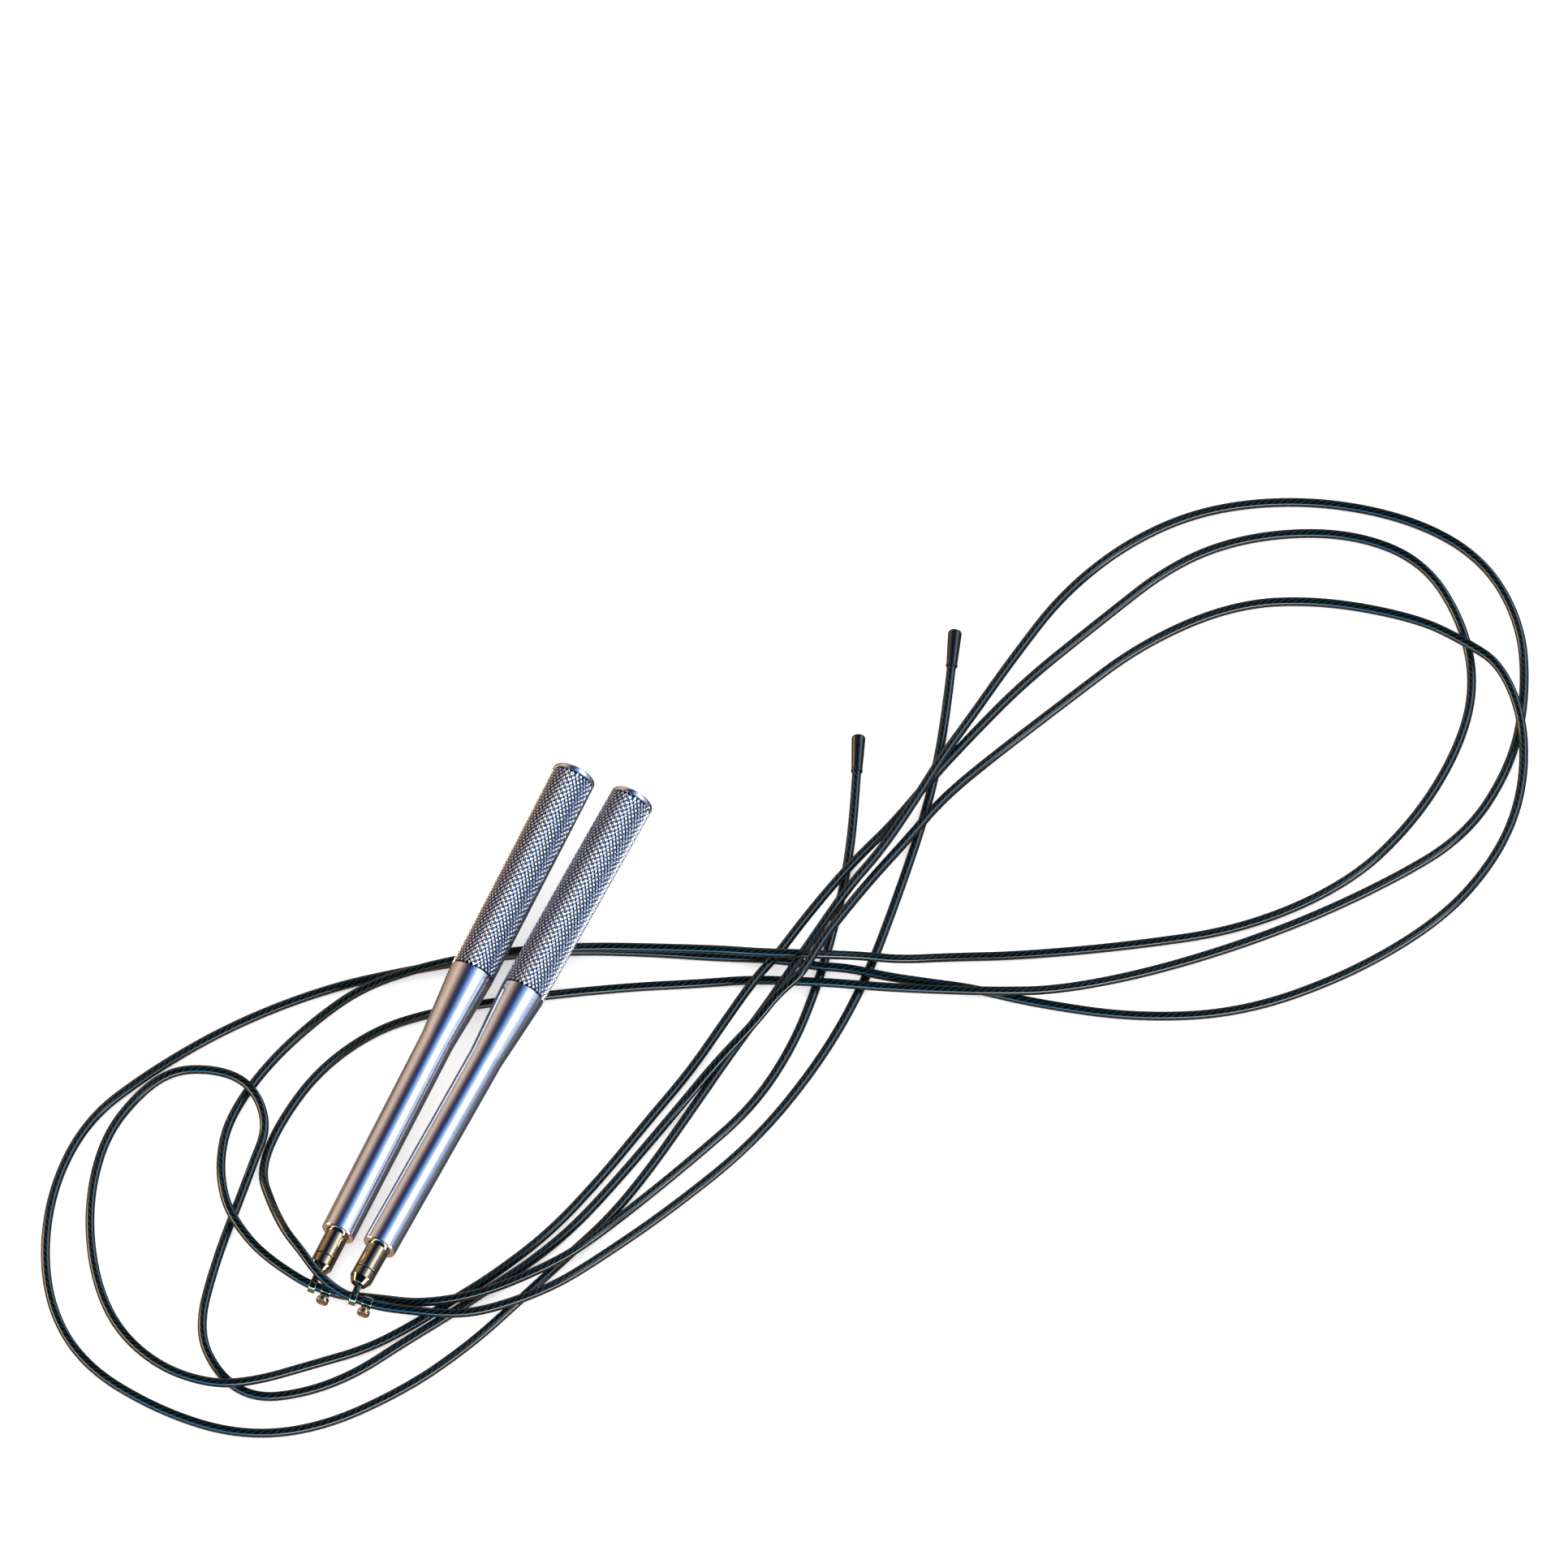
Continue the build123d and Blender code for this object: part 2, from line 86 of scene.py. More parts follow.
# Eased corners of the turned body, as how far each point lies inside the radius and past the corner
FACE_CORNER = [(0.3, 0), (0.08, 0.09), (0, 0.3), (0, 0.6)]
CONE_START_CORNER = [(0, -1.1), (0, -0.2), (-0.03, 0.3), (-0.08, 1.1)]
CONE_FINISH_CORNER = [(0.08, -1.2), (0.03, -0.4), (0, 0)]
PLUG_LENGTH, PLUG_FIT, PLUG_RIM, PLUG_DISH, PLUG_DISH_DEPTH = 6.0, 0.01, 0.5, 1.0, 0.15

# Knurl: diamonds round the grip, their length along it, and the depth of the grooves.
# Real ones look finer; these are as coarse as they need to be to show.
DIAMONDS_AROUND = 30
DIAMOND_LENGTH = 1.8
KNURL_DEPTH = 0.25
DIAMOND_TOP = 0.42  # share of a diamond left flat
TOP_SINK = 0.02  # how far the flat tops lie below the grip's full radius
GRIP_END_LAND = 1.6  # smooth edge at the grip's end
GRIP_END_ROUND = 1.0
KNURL_MARGIN = 0.1

# Faces round each kind of turned piece, and how its corners are eased
GRIP_COLUMNS = 2 * DIAMONDS_AROUND
SWIVEL_COLUMNS, SMALL_COLUMNS, PLUG_COLUMNS = 72, 40, 64
SWIVEL_EASE, COLLAR_EASE, SCREW_EASE, PLAIN_EASE = 0.1, 0.15, 0.22, 0.12
LONGEST_EASE = 0.35  # share of a side that a corner's easing may take
EASE_HOLD = 1.25  # where the flat is held, as a multiple of the easing
ON_AXIS = 1e-6  # radius under which a point lies on the axis

# Stage, in metres: a long lens far away stands in for an orthographic view
CAMERA_TARGET = (0.03966, 0.11452, 0.0)
CAMERA_BACK = (0.219186, -0.449397, 0.866025)
CAMERA_DISTANCE = 12.0
CAMERA_REACH = 40.0
VIEW_WIDTH = 0.4246
FLOOR_RADIUS, FLOOR_DROP, REFLECTOR_RADIUS = 8.0, 0.0002, 2.0
WORLD_STRENGTH, FLOOR_GLOW = 1.3, 0.45

# Reflectors: strengths, then places in degrees about Y, and in the direction's Z and Y components
BAND_STRENGTH, STRIP_STRENGTH, SKY_STRENGTH, HORIZON_STRENGTH = 1.25, 2.2, 1.1, 12.0
STRIP_ANGLE, STRIP_HALF_WIDTH = 45, 15
HORIZON_HEIGHT, HORIZON_HALF_HEIGHT = 0.21, 0.17
FRONT_ENDS, BACK_STARTS = 0.04, 0.16

# The cable's route, from the long tail's cap to the short tail's, in millimetres
ROUTE = [
    # long tail: from its cap, down beside the crossing and round to the right clamp
    (62, 174, 2), (70, 153, 1.3), (78, 125.5, 1.3), (83, 96, 1.3), (87, 66, 1.3),
    (86.5, 38.5, 1.3), (81.5, 9.5, 1.3), (70.5, -18.5, 1.3), (60, -41.5, 2.5), (53, -55.5, 4),
    (41.5, -68.5, 4), (33, -74.5, 4), (20.5, -79, 4),
    # through the right eye, where a middle point keeps it straight, and over the left swivel
    (13.5, -81.1, 3.9), (8.7, -81.75, 4.45), (3.9, -82.4, 5), (-1.9, -81.7, 6.6), (-6.7, -79.7, 7.7),
    (-11.5, -76.9, 8.2), (-17, -73.8, 7.9), (-21, -70.5, 6.6),
    # left inner bend, under both handles and over the two tails
    (-26, -65.5, 4.2), (-34, -56.5, 1.3), (-36, -42, 1.3), (-34, -22, 1.3), (-26, -4, 1.3),
    (-14, 8.5, 1.3), (6.5, 23.5, 1.3), (30, 38.5, 1.3), (47, 48, 1.3), (58.5, 55, 1.3),
    (72, 59.5, 3.6), (80, 62.5, 4.2), (93, 67.5, 4), (106, 73, 4), (120, 79, 4.4),
    # outer turn of the right-hand loops
    (135.5, 88, 2.7), (156.5, 106, 1.3), (180, 130.5, 1.3), (199.5, 156.5, 1.3), (213, 180, 1.3),
    (214.5, 205, 1.3), (209, 226, 1.3), (198, 246.5, 1.3), (180, 260.5, 1.3), (157, 263.5, 1.3),
    (130, 257, 1.3), (106.5, 243, 1.3), (91.5, 224.5, 1.3), (82, 201.5, 1.3), (78.5, 176.5, 1.3),
    # diagonal back down, over the tail and the two level strands
    (77, 154.5, 3.4), (76, 137, 6.5), (75.5, 121.5, 7.1), (74, 104, 6.7), (71, 90, 6.2),
    (69.5, 75.5, 5.6), (68.5, 63, 5.9), (67, 48.5, 5), (64, 32, 1.9), (62, 11, 1.3), (60, -10, 1.3),
    (57, -28, 1.3), (52, -43.5, 1.3), (46.5, -61, 1.3), (40.5, -79.5, 1.3),
    # outer turn of the left-hand loops
    (31, -99.5, 1.3), (15.5, -120.5, 1.3), (-3, -132, 1.3), (-26.5, -134.5, 1.3),
    (-51.5, -130.5, 1.3), (-69.5, -115.5, 1.3), (-81.5, -90, 1.3), (-83.5, -63.5, 1.3),
    (-74.5, -42, 1.3), (-61, -19, 1.3), (-43.5, 2, 1.3), (-26.5, 16.5, 1.3), (-8.5, 30, 1.3),
    (10, 41.5, 1.3), (31, 51, 1.3),
    # level under the handles, over the tails and out to the right
    (46.5, 57, 1.3), (62.5, 64, 1.4), (73, 65, 4), (81.5, 68.5, 4), (91.5, 70.5, 4),
    (101.5, 74.5, 2.2), (114, 79, 1.3), (130.5, 82, 1.3), (157.5, 90, 1.3), (182.5, 104, 1.3),
    (203.5, 127.5, 1.3), (218.5, 154, 1.3), (223.5, 177, 2.1), (222, 196.5, 4), (213, 217, 4),
    # middle turn of the right-hand loops and the top of the crossing
    (199.5, 231, 4.2), (187.5, 233.5, 4), (171.5, 235.5, 2), (145.5, 229.5, 1.3), (125, 218, 1.3),
    (108, 196, 1.3), (97, 170, 1.3), (85.5, 142, 1.6), (81, 126, 4), (78.5, 112.5, 4),
    (75, 96.5, 4.2), (73.5, 78.5, 8.8), (73, 69, 11.2), (72.5, 57.5, 10.8), (69, 50.5, 9),
    (67, 41, 7), (62.5, 26, 4.9), (59, 12, 1.6),
    # down to the hook's outer side
    (54, -15, 1.3), (49.5, -35, 1.3), (43.5, -50.5, 1.3), (36.5, -63.5, 1.3), (31.5, -73.5, 1.3),
    (24, -87, 1.3), (16.5, -101.5, 1.3), (7, -112.5, 1.3), (-4.5, -120, 1.3), (-16.5, -117.5, 1.3),
    (-27.5, -107.5, 1.3), (-32.5, -86.5, 1.3), (-35.5, -64, 1.3),
    # the small hook and its own crossing
    (-36.5, -55, 3.1), (-37.5, -45.5, 4), (-43, -38, 4.2), (-50.5, -34, 4), (-59.5, -34.5, 3),
    (-69, -38.5, 1.3), (-74, -48.5, 1.3), (-76.5, -65, 1.3), (-71.5, -85, 1.3), (-61, -103.5, 1.3),
    (-48, -116.5, 1.5), (-32, -123, 2.8), (-16.5, -122.5, 4), (-6, -116.5, 4), (5.5, -104, 2.3),
    # back up beside the last diagonal
    (16, -93, 1.3), (24, -81, 1.3), (29.5, -70.5, 1.3), (36.5, -58, 1.3), (44.5, -39, 1.3),
    (49.5, -17.5, 1.3), (53, 3.5, 1.3), (56.5, 22.5, 1.3), (58.5, 39.5, 3.1), (60.5, 54.5, 4.8),
    (62.5, 63.5, 4.4), (64, 76.5, 4), (66.5, 91, 4), (69, 102, 3.8), (72.5, 114, 4),
    (75.5, 129.5, 4.4), (79, 147.5, 2.8),
    # inner turn of the right-hand loops
    (84.5, 171, 1.3), (94, 195.5, 1.3), (105, 223, 1.3), (120.5, 240, 1.3), (143, 252, 1.3),
    (165, 253, 1.3), (183, 240.5, 1.3), (195, 223.5, 1.3), (199.5, 203.5, 1.3), (198.5, 178.5, 1.3),
    (191, 153, 1.3), (171.5, 127.5, 1.3),
    # level on top of its neighbour, under the handles
    (145.5, 109, 1.3), (120.5, 93.5, 1.3), (103.5, 84.5, 1.6), (93, 77, 4), (83, 73, 4.8),
    (73.5, 67, 7.6), (67, 63.5, 8.8), (59, 60.5, 7.8), (47.5, 57.5, 5.4), (30, 50.5, 4),
    (15, 43.5, 4), (-5, 32, 4), (-21, 19.5, 4), (-33.5, 7, 3),
    # round to the left eye
    (-41, -6.5, 1.3), (-47, -25.5, 1.3), (-49, -45, 1.3), (-45, -59, 2.5), (-38, -70, 4.2),
    (-31, -75.5, 4), (-22, -80, 3.6),
    # through the left eye and clamp, straight again, and under the right swivel
    (-8.3, -83.1, 3.9), (-3.15, -82.5, 3.2), (2, -81.9, 2.5), (6.3, -79.8, 1.4), (13, -77.3, 1.3),
    # short tail, up to its cap
    (23, -75.5, 3.8), (33.5, -68.5, 4.2), (42, -59.5, 4), (51.5, -46.5, 4), (56.5, -36.5, 4),
    (62, -21, 1.9), (69.5, -0.5, 1.3), (76.5, 20, 1.3), (78, 41.5, 1.3), (75.5, 62, 1.3),
    (72, 78.5, 1.3), (67.5, 96, 1.3), (60.5, 115.5, 1.3), (53, 133, 2),
]


class JumpRopeSizes(bpy.types.PropertyGroup):
    """The sizes and colours that a user would change."""

    cable_sides: bpy.props.IntProperty(
        name="Cable sides", description="Faces round the cable", default=14, min=8
    )
    strand_lay: bpy.props.FloatProperty(
        name="Strand lay", description="Cable length in which a strand goes round once",
        default=12 * MM, unit="LENGTH",
    )
    knurl_depth: bpy.props.FloatProperty(
        name="Knurl depth", description="Depth of the grooves in the grip",
        default=KNURL_DEPTH * MM, unit="LENGTH",
    )
    aluminium: bpy.props.StringProperty(
        name="Aluminium", description="Colour of the clear anodised handles", default="#E2E4E8"
    )
    nickel: bpy.props.StringProperty(
        name="Nickel", description="Colour of the bright plated fittings", default="#A8977A"
    )
    strand: bpy.props.StringProperty(
        name="Strand", description="Colour that shows between the strands", default="#02292A"
    )


def linear(hex_colour):
    """An sRGB hex colour as linear RGBA."""
    channels = [int(hex_colour[n : n + 2], 16) / 255 for n in (1, 3, 5)]
    return [c / 12.92 if c <= 0.04045 else ((c + 0.055) / 1.055) ** 2.4 for c in channels] + [1.0]


def add_node(tree, kind, inputs=None, **settings):
    """Adds a node, gives it its settings, and fills or links its inputs."""
    node = tree.nodes.new(kind)
    for name, value in settings.items():
        setattr(node, name, value)
    for name, value in (inputs or {}).items():
        if isinstance(value, bpy.types.NodeSocket):
            tree.links.new(value, node.inputs[name])
        else:
            node.inputs[name].default_value = value
    return node


def new_material(name):
    """A material with its node tree and its surface shader."""
    material = bpy.data.materials.new(name)
    material.use_nodes = True
    return material, material.node_tree, material.node_tree.nodes["Principled BSDF"]


def ramp(tree, factor, stops):
    """The colour output of a ramp with (place, hex colour) stops."""
    node = add_node(tree, "ShaderNodeValToRGB", {"Fac": factor})
    elements = node.color_ramp.elements
    while len(elements) < len(stops):
        elements.new(0.5)
    for element, (place, colour) in zip(elements, stops):
        element.position = place
        element.color = linear(colour)
    return node.outputs["Color"]


def turned_metal(name, colour, worn_colour, roughness, mark_spacing, mark_depth):
    """Lathe-turned metal: tool rings along the axis, faint handling marks and uneven gloss."""
    handling_size, rings_strength = 20 * MM, 0.25
    smoother, rougher = 0.95, 1.07
    material, tree, surface = new_material(name)
    local = add_node(tree, "ShaderNodeTexCoord").outputs["Object"]
    apart = add_node(tree, "ShaderNodeSeparateXYZ", {"Vector": local})
    rings = add_node(
        tree, "ShaderNodeTexNoise",
        {"W": apart.outputs["Z"], "Scale": 1 / (mark_spacing * MM), "Detail": 2.0},
        noise_dimensions="1D",
    )
    handling = add_node(
        tree, "ShaderNodeTexNoise", {"Vector": local, "Scale": 1 / handling_size, "Detail": 2.0}
    )
    tint = ramp(tree, handling.outputs["Fac"], [(0.3, worn_colour), (0.62, colour)])
    gloss = add_node(
        tree, "ShaderNodeMapRange",
        {"Value": handling.outputs["Fac"], "From Min": 0.3, "From Max": 0.7,
         "To Min": roughness * smoother, "To Max": roughness * rougher},
    )
    bump = add_node(
        tree, "ShaderNodeBump",
        {"Height": rings.outputs["Fac"], "Strength": rings_strength, "Distance": mark_depth * MM},
    )
    tree.links.new(tint, surface.inputs["Base Color"])
    tree.links.new(gloss.outputs["Result"], surface.inputs["Roughness"])
    tree.links.new(bump.outputs["Normal"], surface.inputs["Normal"])
    surface.inputs["Metallic"].default_value = 1.0
    return material


def knurled_aluminium(sizes):
    """Rolled knurl in clear anodised aluminium, with shade painted into the grooves: the colour darkens with depth
    below the plain diamond tops.
    """
    grain_size, grain_depth = 0.5 * MM, 0.02 * MM
    # Painted shade: from this depth down, the grooves' colour darkens towards the bottom.
    groove_shade_fades_at = 0.06 * MM  # how far below the full radius the metal is at its brightest
    material, tree, surface = new_material("knurled_aluminium_with_painted_groove_shade")
    local = add_node(tree, "ShaderNodeTexCoord").outputs["Object"]
    apart = add_node(tree, "ShaderNodeSeparateXYZ", {"Vector": local})
    flat = add_node(tree, "ShaderNodeCombineXYZ", {"X": apart.outputs["X"], "Y": apart.outputs["Y"]})
    radius = add_node(tree, "ShaderNodeVectorMath", {0: flat.outputs["Vector"]}, operation="LENGTH")
    groove_shade_by_depth = add_node(
        tree, "ShaderNodeMapRange",
        {"Value": radius.outputs["Value"],
         "From Min": GRIP_RADIUS * MM - sizes.knurl_depth, "From Max": GRIP_RADIUS * MM - groove_shade_fades_at},
    ).outputs["Result"]
    # Painted shade in the grooves: dark slate at the bottom, lighter up the sides, plain aluminium on the tops.
    tint = ramp(tree, groove_shade_by_depth, [(0.0, "#23293A"), (0.55, "#A8B0C0"), (1.0, sizes.aluminium)])
    grain = add_node(tree, "ShaderNodeTexNoise", {"Vector": local, "Scale": 1 / grain_size, "Detail": 3.0})
    bump = add_node(
        tree, "ShaderNodeBump", {"Height": grain.outputs["Fac"], "Strength": 0.2, "Distance": grain_depth}
    )
    tree.links.new(tint, surface.inputs["Base Color"])
    tree.links.new(bump.outputs["Normal"], surface.inputs["Normal"])
    surface.inputs["Metallic"].default_value = 1.0
    surface.inputs["Roughness"].default_value = 0.24
    return material


def coated_strand(sizes):
    """Twisted steel strand under a clear gloss coat: dark stripes on a slant, below a smooth shine."""
    strand_relief = 0.12 * MM
    material, tree, surface = new_material("wire_strand_in_clear_gloss_pvc")
    unwrapped = add_node(tree, "ShaderNodeUVMap", uv_map="round_and_along").outputs["UV"]
    apart = add_node(tree, "ShaderNodeSeparateXYZ", {"Vector": unwrapped})
    round_part = add_node(
        tree, "ShaderNodeMath", {0: apart.outputs["X"], 1: float(STRANDS)}, operation="MULTIPLY"
    ).outputs["Value"]
    lay_part = add_node(
        tree, "ShaderNodeMath", {0: apart.outputs["Y"], 1: STRANDS / sizes.strand_lay}, operation="MULTIPLY"
    ).outputs["Value"]
    phase = add_node(tree, "ShaderNodeMath", {0: round_part, 1: lay_part}, operation="ADD").outputs["Value"]
    turn = add_node(tree, "ShaderNodeMath", {0: phase, 1: math.tau}, operation="MULTIPLY").outputs["Value"]
    wave = add_node(tree, "ShaderNodeMath", {0: turn}, operation="SINE").outputs["Value"]
    crown = add_node(
        tree, "ShaderNodeMapRange", {"Value": wave, "From Min": -1.0, "From Max": 1.0}
    ).outputs["Result"]
    tint = ramp(tree, crown, [(0.25, "#000101"), (0.6, "#01100F"), (0.9, sizes.strand)])
    bump = add_node(tree, "ShaderNodeBump", {"Height": crown, "Strength": 0.5, "Distance": strand_relief})
    tree.links.new(tint, surface.inputs["Base Color"])
    tree.links.new(bump.outputs["Normal"], surface.inputs["Normal"])
    surface.inputs["Roughness"].default_value = 0.45
    surface.inputs["Coat Weight"].default_value = 1.0
    surface.inputs["Coat Roughness"].default_value = 0.03
    surface.inputs["Specular IOR Level"].default_value = 0.05
    return material


def moulded_black():
    """Injection-moulded black ABS: high gloss with a faint ripple."""
    ripple_size, ripple_depth = 1.5 * MM, 0.03 * MM
    material, tree, surface = new_material("moulded_gloss_black_abs")
    local = add_node(tree, "ShaderNodeTexCoord").outputs["Object"]
    ripple = add_node(tree, "ShaderNodeTexNoise", {"Vector": local, "Scale": 1 / ripple_size, "Detail": 2.0})
    tint = ramp(tree, ripple.outputs["Fac"], [(0.3, "#070809"), (0.7, "#101214")])
    bump = add_node(
        tree, "ShaderNodeBump", {"Height": ripple.outputs["Fac"], "Strength": 0.15, "Distance": ripple_depth}
    )
    tree.links.new(tint, surface.inputs["Base Color"])
    tree.links.new(bump.outputs["Normal"], surface.inputs["Normal"])
    surface.inputs["Roughness"].default_value = 0.16
    return material


def bright_nickel(sizes):
    """Bright nickel plate: near mirror, a little warm. One material serves every fitting."""
    name = "bright_nickel_plate"
    return bpy.data.materials.get(name) or turned_metal(
        name, sizes.nickel, "#9C8B6E", roughness=0.06, mark_spacing=0.25, mark_depth=0.003
    )


def line_place(origin, direction):
    """A matrix whose Z runs along a direction from a point."""
    turn = Vector(direction).to_track_quat("Z", "Y")
    return Matrix.Translation(Vector(origin)) @ turn.to_matrix().to_4x4()


def eased(outline, radius):
    """A closed outline with each corner off the axis rounded, and flats that stay flat up to it."""
    points = []
    count = len(outline)
    for n, corner in enumerate(outline):
        corner = Vector(corner)
        if corner.x < ON_AXIS:
            points.append(corner)
            continue
        back = Vector(outline[n - 1]) - corner
        ahead = Vector(outline[(n + 1) % count]) - corner
        reach = min(radius, LONGEST_EASE * back.length, LONGEST_EASE * ahead.length)
        start = corner + back.normalized() * reach
        end = corner + ahead.normalized() * reach
        points.append(corner + back.normalized() * EASE_HOLD * reach)
        for t in (0.0, 0.33, 0.67, 1.0):
            points.append(start * (1 - t) ** 2 + corner * 2 * t * (1 - t) + end * t**2)
        points.append(corner + ahead.normalized() * EASE_HOLD * reach)
    return points


def ring_point(radius, distance, share):
    """A point at a share of a turn round local Z."""
    angle = math.tau * share
    return Vector((radius * math.cos(angle), radius * math.sin(angle), distance)) * MM


def add_turned(mesh, outline, columns, closed=True):
    """Turns an outline of (radius, distance) about local Z and returns its rings."""
    rings = []
    for radius, distance in outline:
        if radius < ON_AXIS:
            rings.append([mesh.verts.new((0, 0, distance * MM))])
        else:
            rings.append([mesh.verts.new(ring_point(radius, distance, c / columns)) for c in range(columns)])
    pairs = list(zip(rings, rings[1:]))
    if closed and len(rings[0]) > 1:
        pairs.append((rings[-1], rings[0]))
    for low, high in pairs:
        for c in range(columns):
            after = (c + 1) % columns
            corners = []
            around = (low[c % len(low)], low[after % len(low)], high[after % len(high)], high[c % len(high)])
            for vertex in around:
                if vertex not in corners:
                    corners.append(vertex)
            if len(corners) > 2:
                mesh.faces.new(corners)
    return rings


def to_piece(name, mesh, material, place, crisp=35):
    """Makes an object of a bmesh, smooth except at edges sharper than crisp degrees."""
    bmesh.ops.recalc_face_normals(mesh, faces=mesh.faces)
    for face in mesh.faces:
        face.smooth = face.material_index == 0
    for edge in mesh.edges:
        edge.smooth = edge.calc_face_angle(0.0) < math.radians(crisp)
    data = bpy.data.meshes.new(name)
    mesh.to_mesh(data)
    mesh.free()
    piece = bpy.data.objects.new(name, data)
    bpy.context.scene.collection.objects.link(piece)
    piece.matrix_world = place
    for one in material if isinstance(material, list) else [material]:
        data.materials.append(one)
    return piece


def turned_piece(name, outline, material, place, ease=PLAIN_EASE, columns=PLUG_COLUMNS):
    """A piece turned from a closed outline whose corners are eased."""
    mesh = bmesh.new()
    add_turned(mesh, eased(outline, ease), columns)
    return to_piece(name, mesh, material, place)


def stand_for(piece, body, node):
    """Makes a piece ride on a body in place of a CAD node."""
    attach(piece, body)
    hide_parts(node)


def handle_place(side):
    """The handle's own frame: from the ball's centre, with Z towards the grip."""
    spin = JOINTS[side + "_handle_spin"]
    return line_place(spin["pos_m"], spin["axis"])


def add_knurl(mesh, start, end, depth):
    """Diamonds with flat tops between two groove-deep rings, which it returns."""
    columns = GRIP_COLUMNS
    rows = 2 * round((end - start) / DIAMOND_LENGTH)
    low_radius = GRIP_RADIUS - depth
    top_radius = GRIP_RADIUS - TOP_SINK
    low = {}
    for row in range(rows + 1):
        distance = start + (end - start) * row / rows
        for column in range(columns):
            if (row + column) % 2 == 0 or row in (0, rows):
                low[column, row] = mesh.verts.new(ring_point(low_radius, distance, column / columns))
    faces = []
    for row in range(1, rows):
        for column in range(columns):
            if (row + column) % 2 == 0:
                continue
            corners, tops = [], []
            for over, up in ((1, 0), (0, 1), (-1, 0), (0, -1)):
                corners.append(low[(column + over) % columns, row + up])
                distance = start + (end - start) * (row + up * DIAMOND_TOP) / rows
                share = (column + over * DIAMOND_TOP) / columns
                tops.append(mesh.verts.new(ring_point(top_radius, distance, share)))
            faces.append(mesh.faces.new(tops))
            for n in range(4):
                m = (n + 1) % 4
                faces.append(mesh.faces.new((corners[n], corners[m], tops[m], tops[n])))
    for row, inner in ((0, 1), (rows, rows - 1)):
        for column in range(columns):
            if (row + column) % 2:
                before, after = (column - 1) % columns, (column + 1) % columns
                faces.append(mesh.faces.new((low[column, row], low[after, row], low[column, inner])))
                faces.append(mesh.faces.new((low[before, row], low[column, row], low[column, inner])))
    for face in faces:
        face.material_index = 1
    first = [low[column, 0] for column in range(columns)]
    last = [low[column, rows] for column in range(columns)]
    return first, last


def bridge(mesh, low, high):
    """Joins two rings of the same number of points."""
    columns = len(low)
    for c in range(columns):
        after = (c + 1) % columns
        mesh.faces.new((low[c], low[after], high[after], high[c]))


def stage_object(name, mesh, material):
    """Makes a stage object of a bmesh."""
    data = bpy.data.meshes.new(name)
    mesh.to_mesh(data)
    mesh.free()
    data.materials.append(material)
    thing = bpy.data.objects.new(name, data)
    bpy.context.scene.collection.objects.link(thing)
    return thing


def camera_and_stage():
    """Camera, pale floor, soft white light and the reflectors that the metal mirrors."""
    scene = bpy.context.scene
    scene.view_settings.view_transform = "Standard"
    scene.world = scene.world or bpy.data.worlds.new("studio")
    scene.world.use_nodes = True
    background = scene.world.node_tree.nodes["Background"]
    background.inputs["Color"].default_value = (1, 1, 1, 1)
    background.inputs["Strength"].default_value = WORLD_STRENGTH

    back = Vector(CAMERA_BACK).normalized()
    camera_data = bpy.data.cameras.new("camera")
    camera_data.lens = camera_data.sensor_width * CAMERA_DISTANCE / VIEW_WIDTH
    camera_data.clip_end = CAMERA_REACH
    camera = bpy.data.objects.new("camera", camera_data)
    scene.collection.objects.link(camera)
    camera.location = Vector(CAMERA_TARGET) + back * CAMERA_DISTANCE
    camera.rotation_mode = "QUATERNION"
    camera.rotation_quaternion = (-back).to_track_quat("-Z", "Y")
    scene.camera = camera

    disc = bmesh.new()
    bmesh.ops.create_circle(disc, cap_ends=True, segments=96, radius=FLOOR_RADIUS)
    floor = stage_object("floor", disc, glowing_white_board())
    floor.location.z = -FLOOR_DROP
    floor.visible_glossy = False

    sphere = bmesh.new()
    bmesh.ops.create_uvsphere(sphere, u_segments=64, v_segments=32, radius=REFLECTOR_RADIUS)
    tent = stage_object("reflectors", sphere, reflector_material())
    tent.visible_camera = tent.visible_diffuse = tent.visible_shadow = False
    tent.visible_transmission = tent.visible_volume_scatter = False


def glowing_white_board():
    """Matt white board that glows enough to lose nearly all of its shadows."""
    material, _, surface = new_material("matt_white_board")
    surface.inputs["Base Color"].default_value = linear("#FBFBFB")
    surface.inputs["Emission Color"].default_value = (1, 1, 1, 1)
    surface.inputs["Emission Strength"].default_value = FLOOR_GLOW
    surface.inputs["Roughness"].default_value = 0.9
    surface.inputs["Specular IOR Level"].default_value = 0.1
    return material


def glow(tree, colour, strength):
    """The light from a colour, which may be linked, at a strength."""
    node = add_node(tree, "ShaderNodeEmission", {"Color": colour, "Strength": strength})
    return node.outputs["Emission"]


def near(tree, value, middle, half_width, strength):
    """A strength where a value is within half a width of the middle, and 0 elsewhere."""
    inside = add_node(
        tree, "ShaderNodeMath", {0: value, 1: middle, 2: half_width}, operation="COMPARE"
    ).outputs["Value"]
    return add_node(tree, "ShaderNodeMath", {0: inside, 1: strength}, operation="MULTIPLY").outputs["Value"]


def share_of(tree, value, low, high):
    """Where a value stands between two others, from 0 to 1."""
    node = add_node(tree, "ShaderNodeMapRange", {"Value": value, "From Min": low, "From Max": high})
    return node.outputs["Result"]


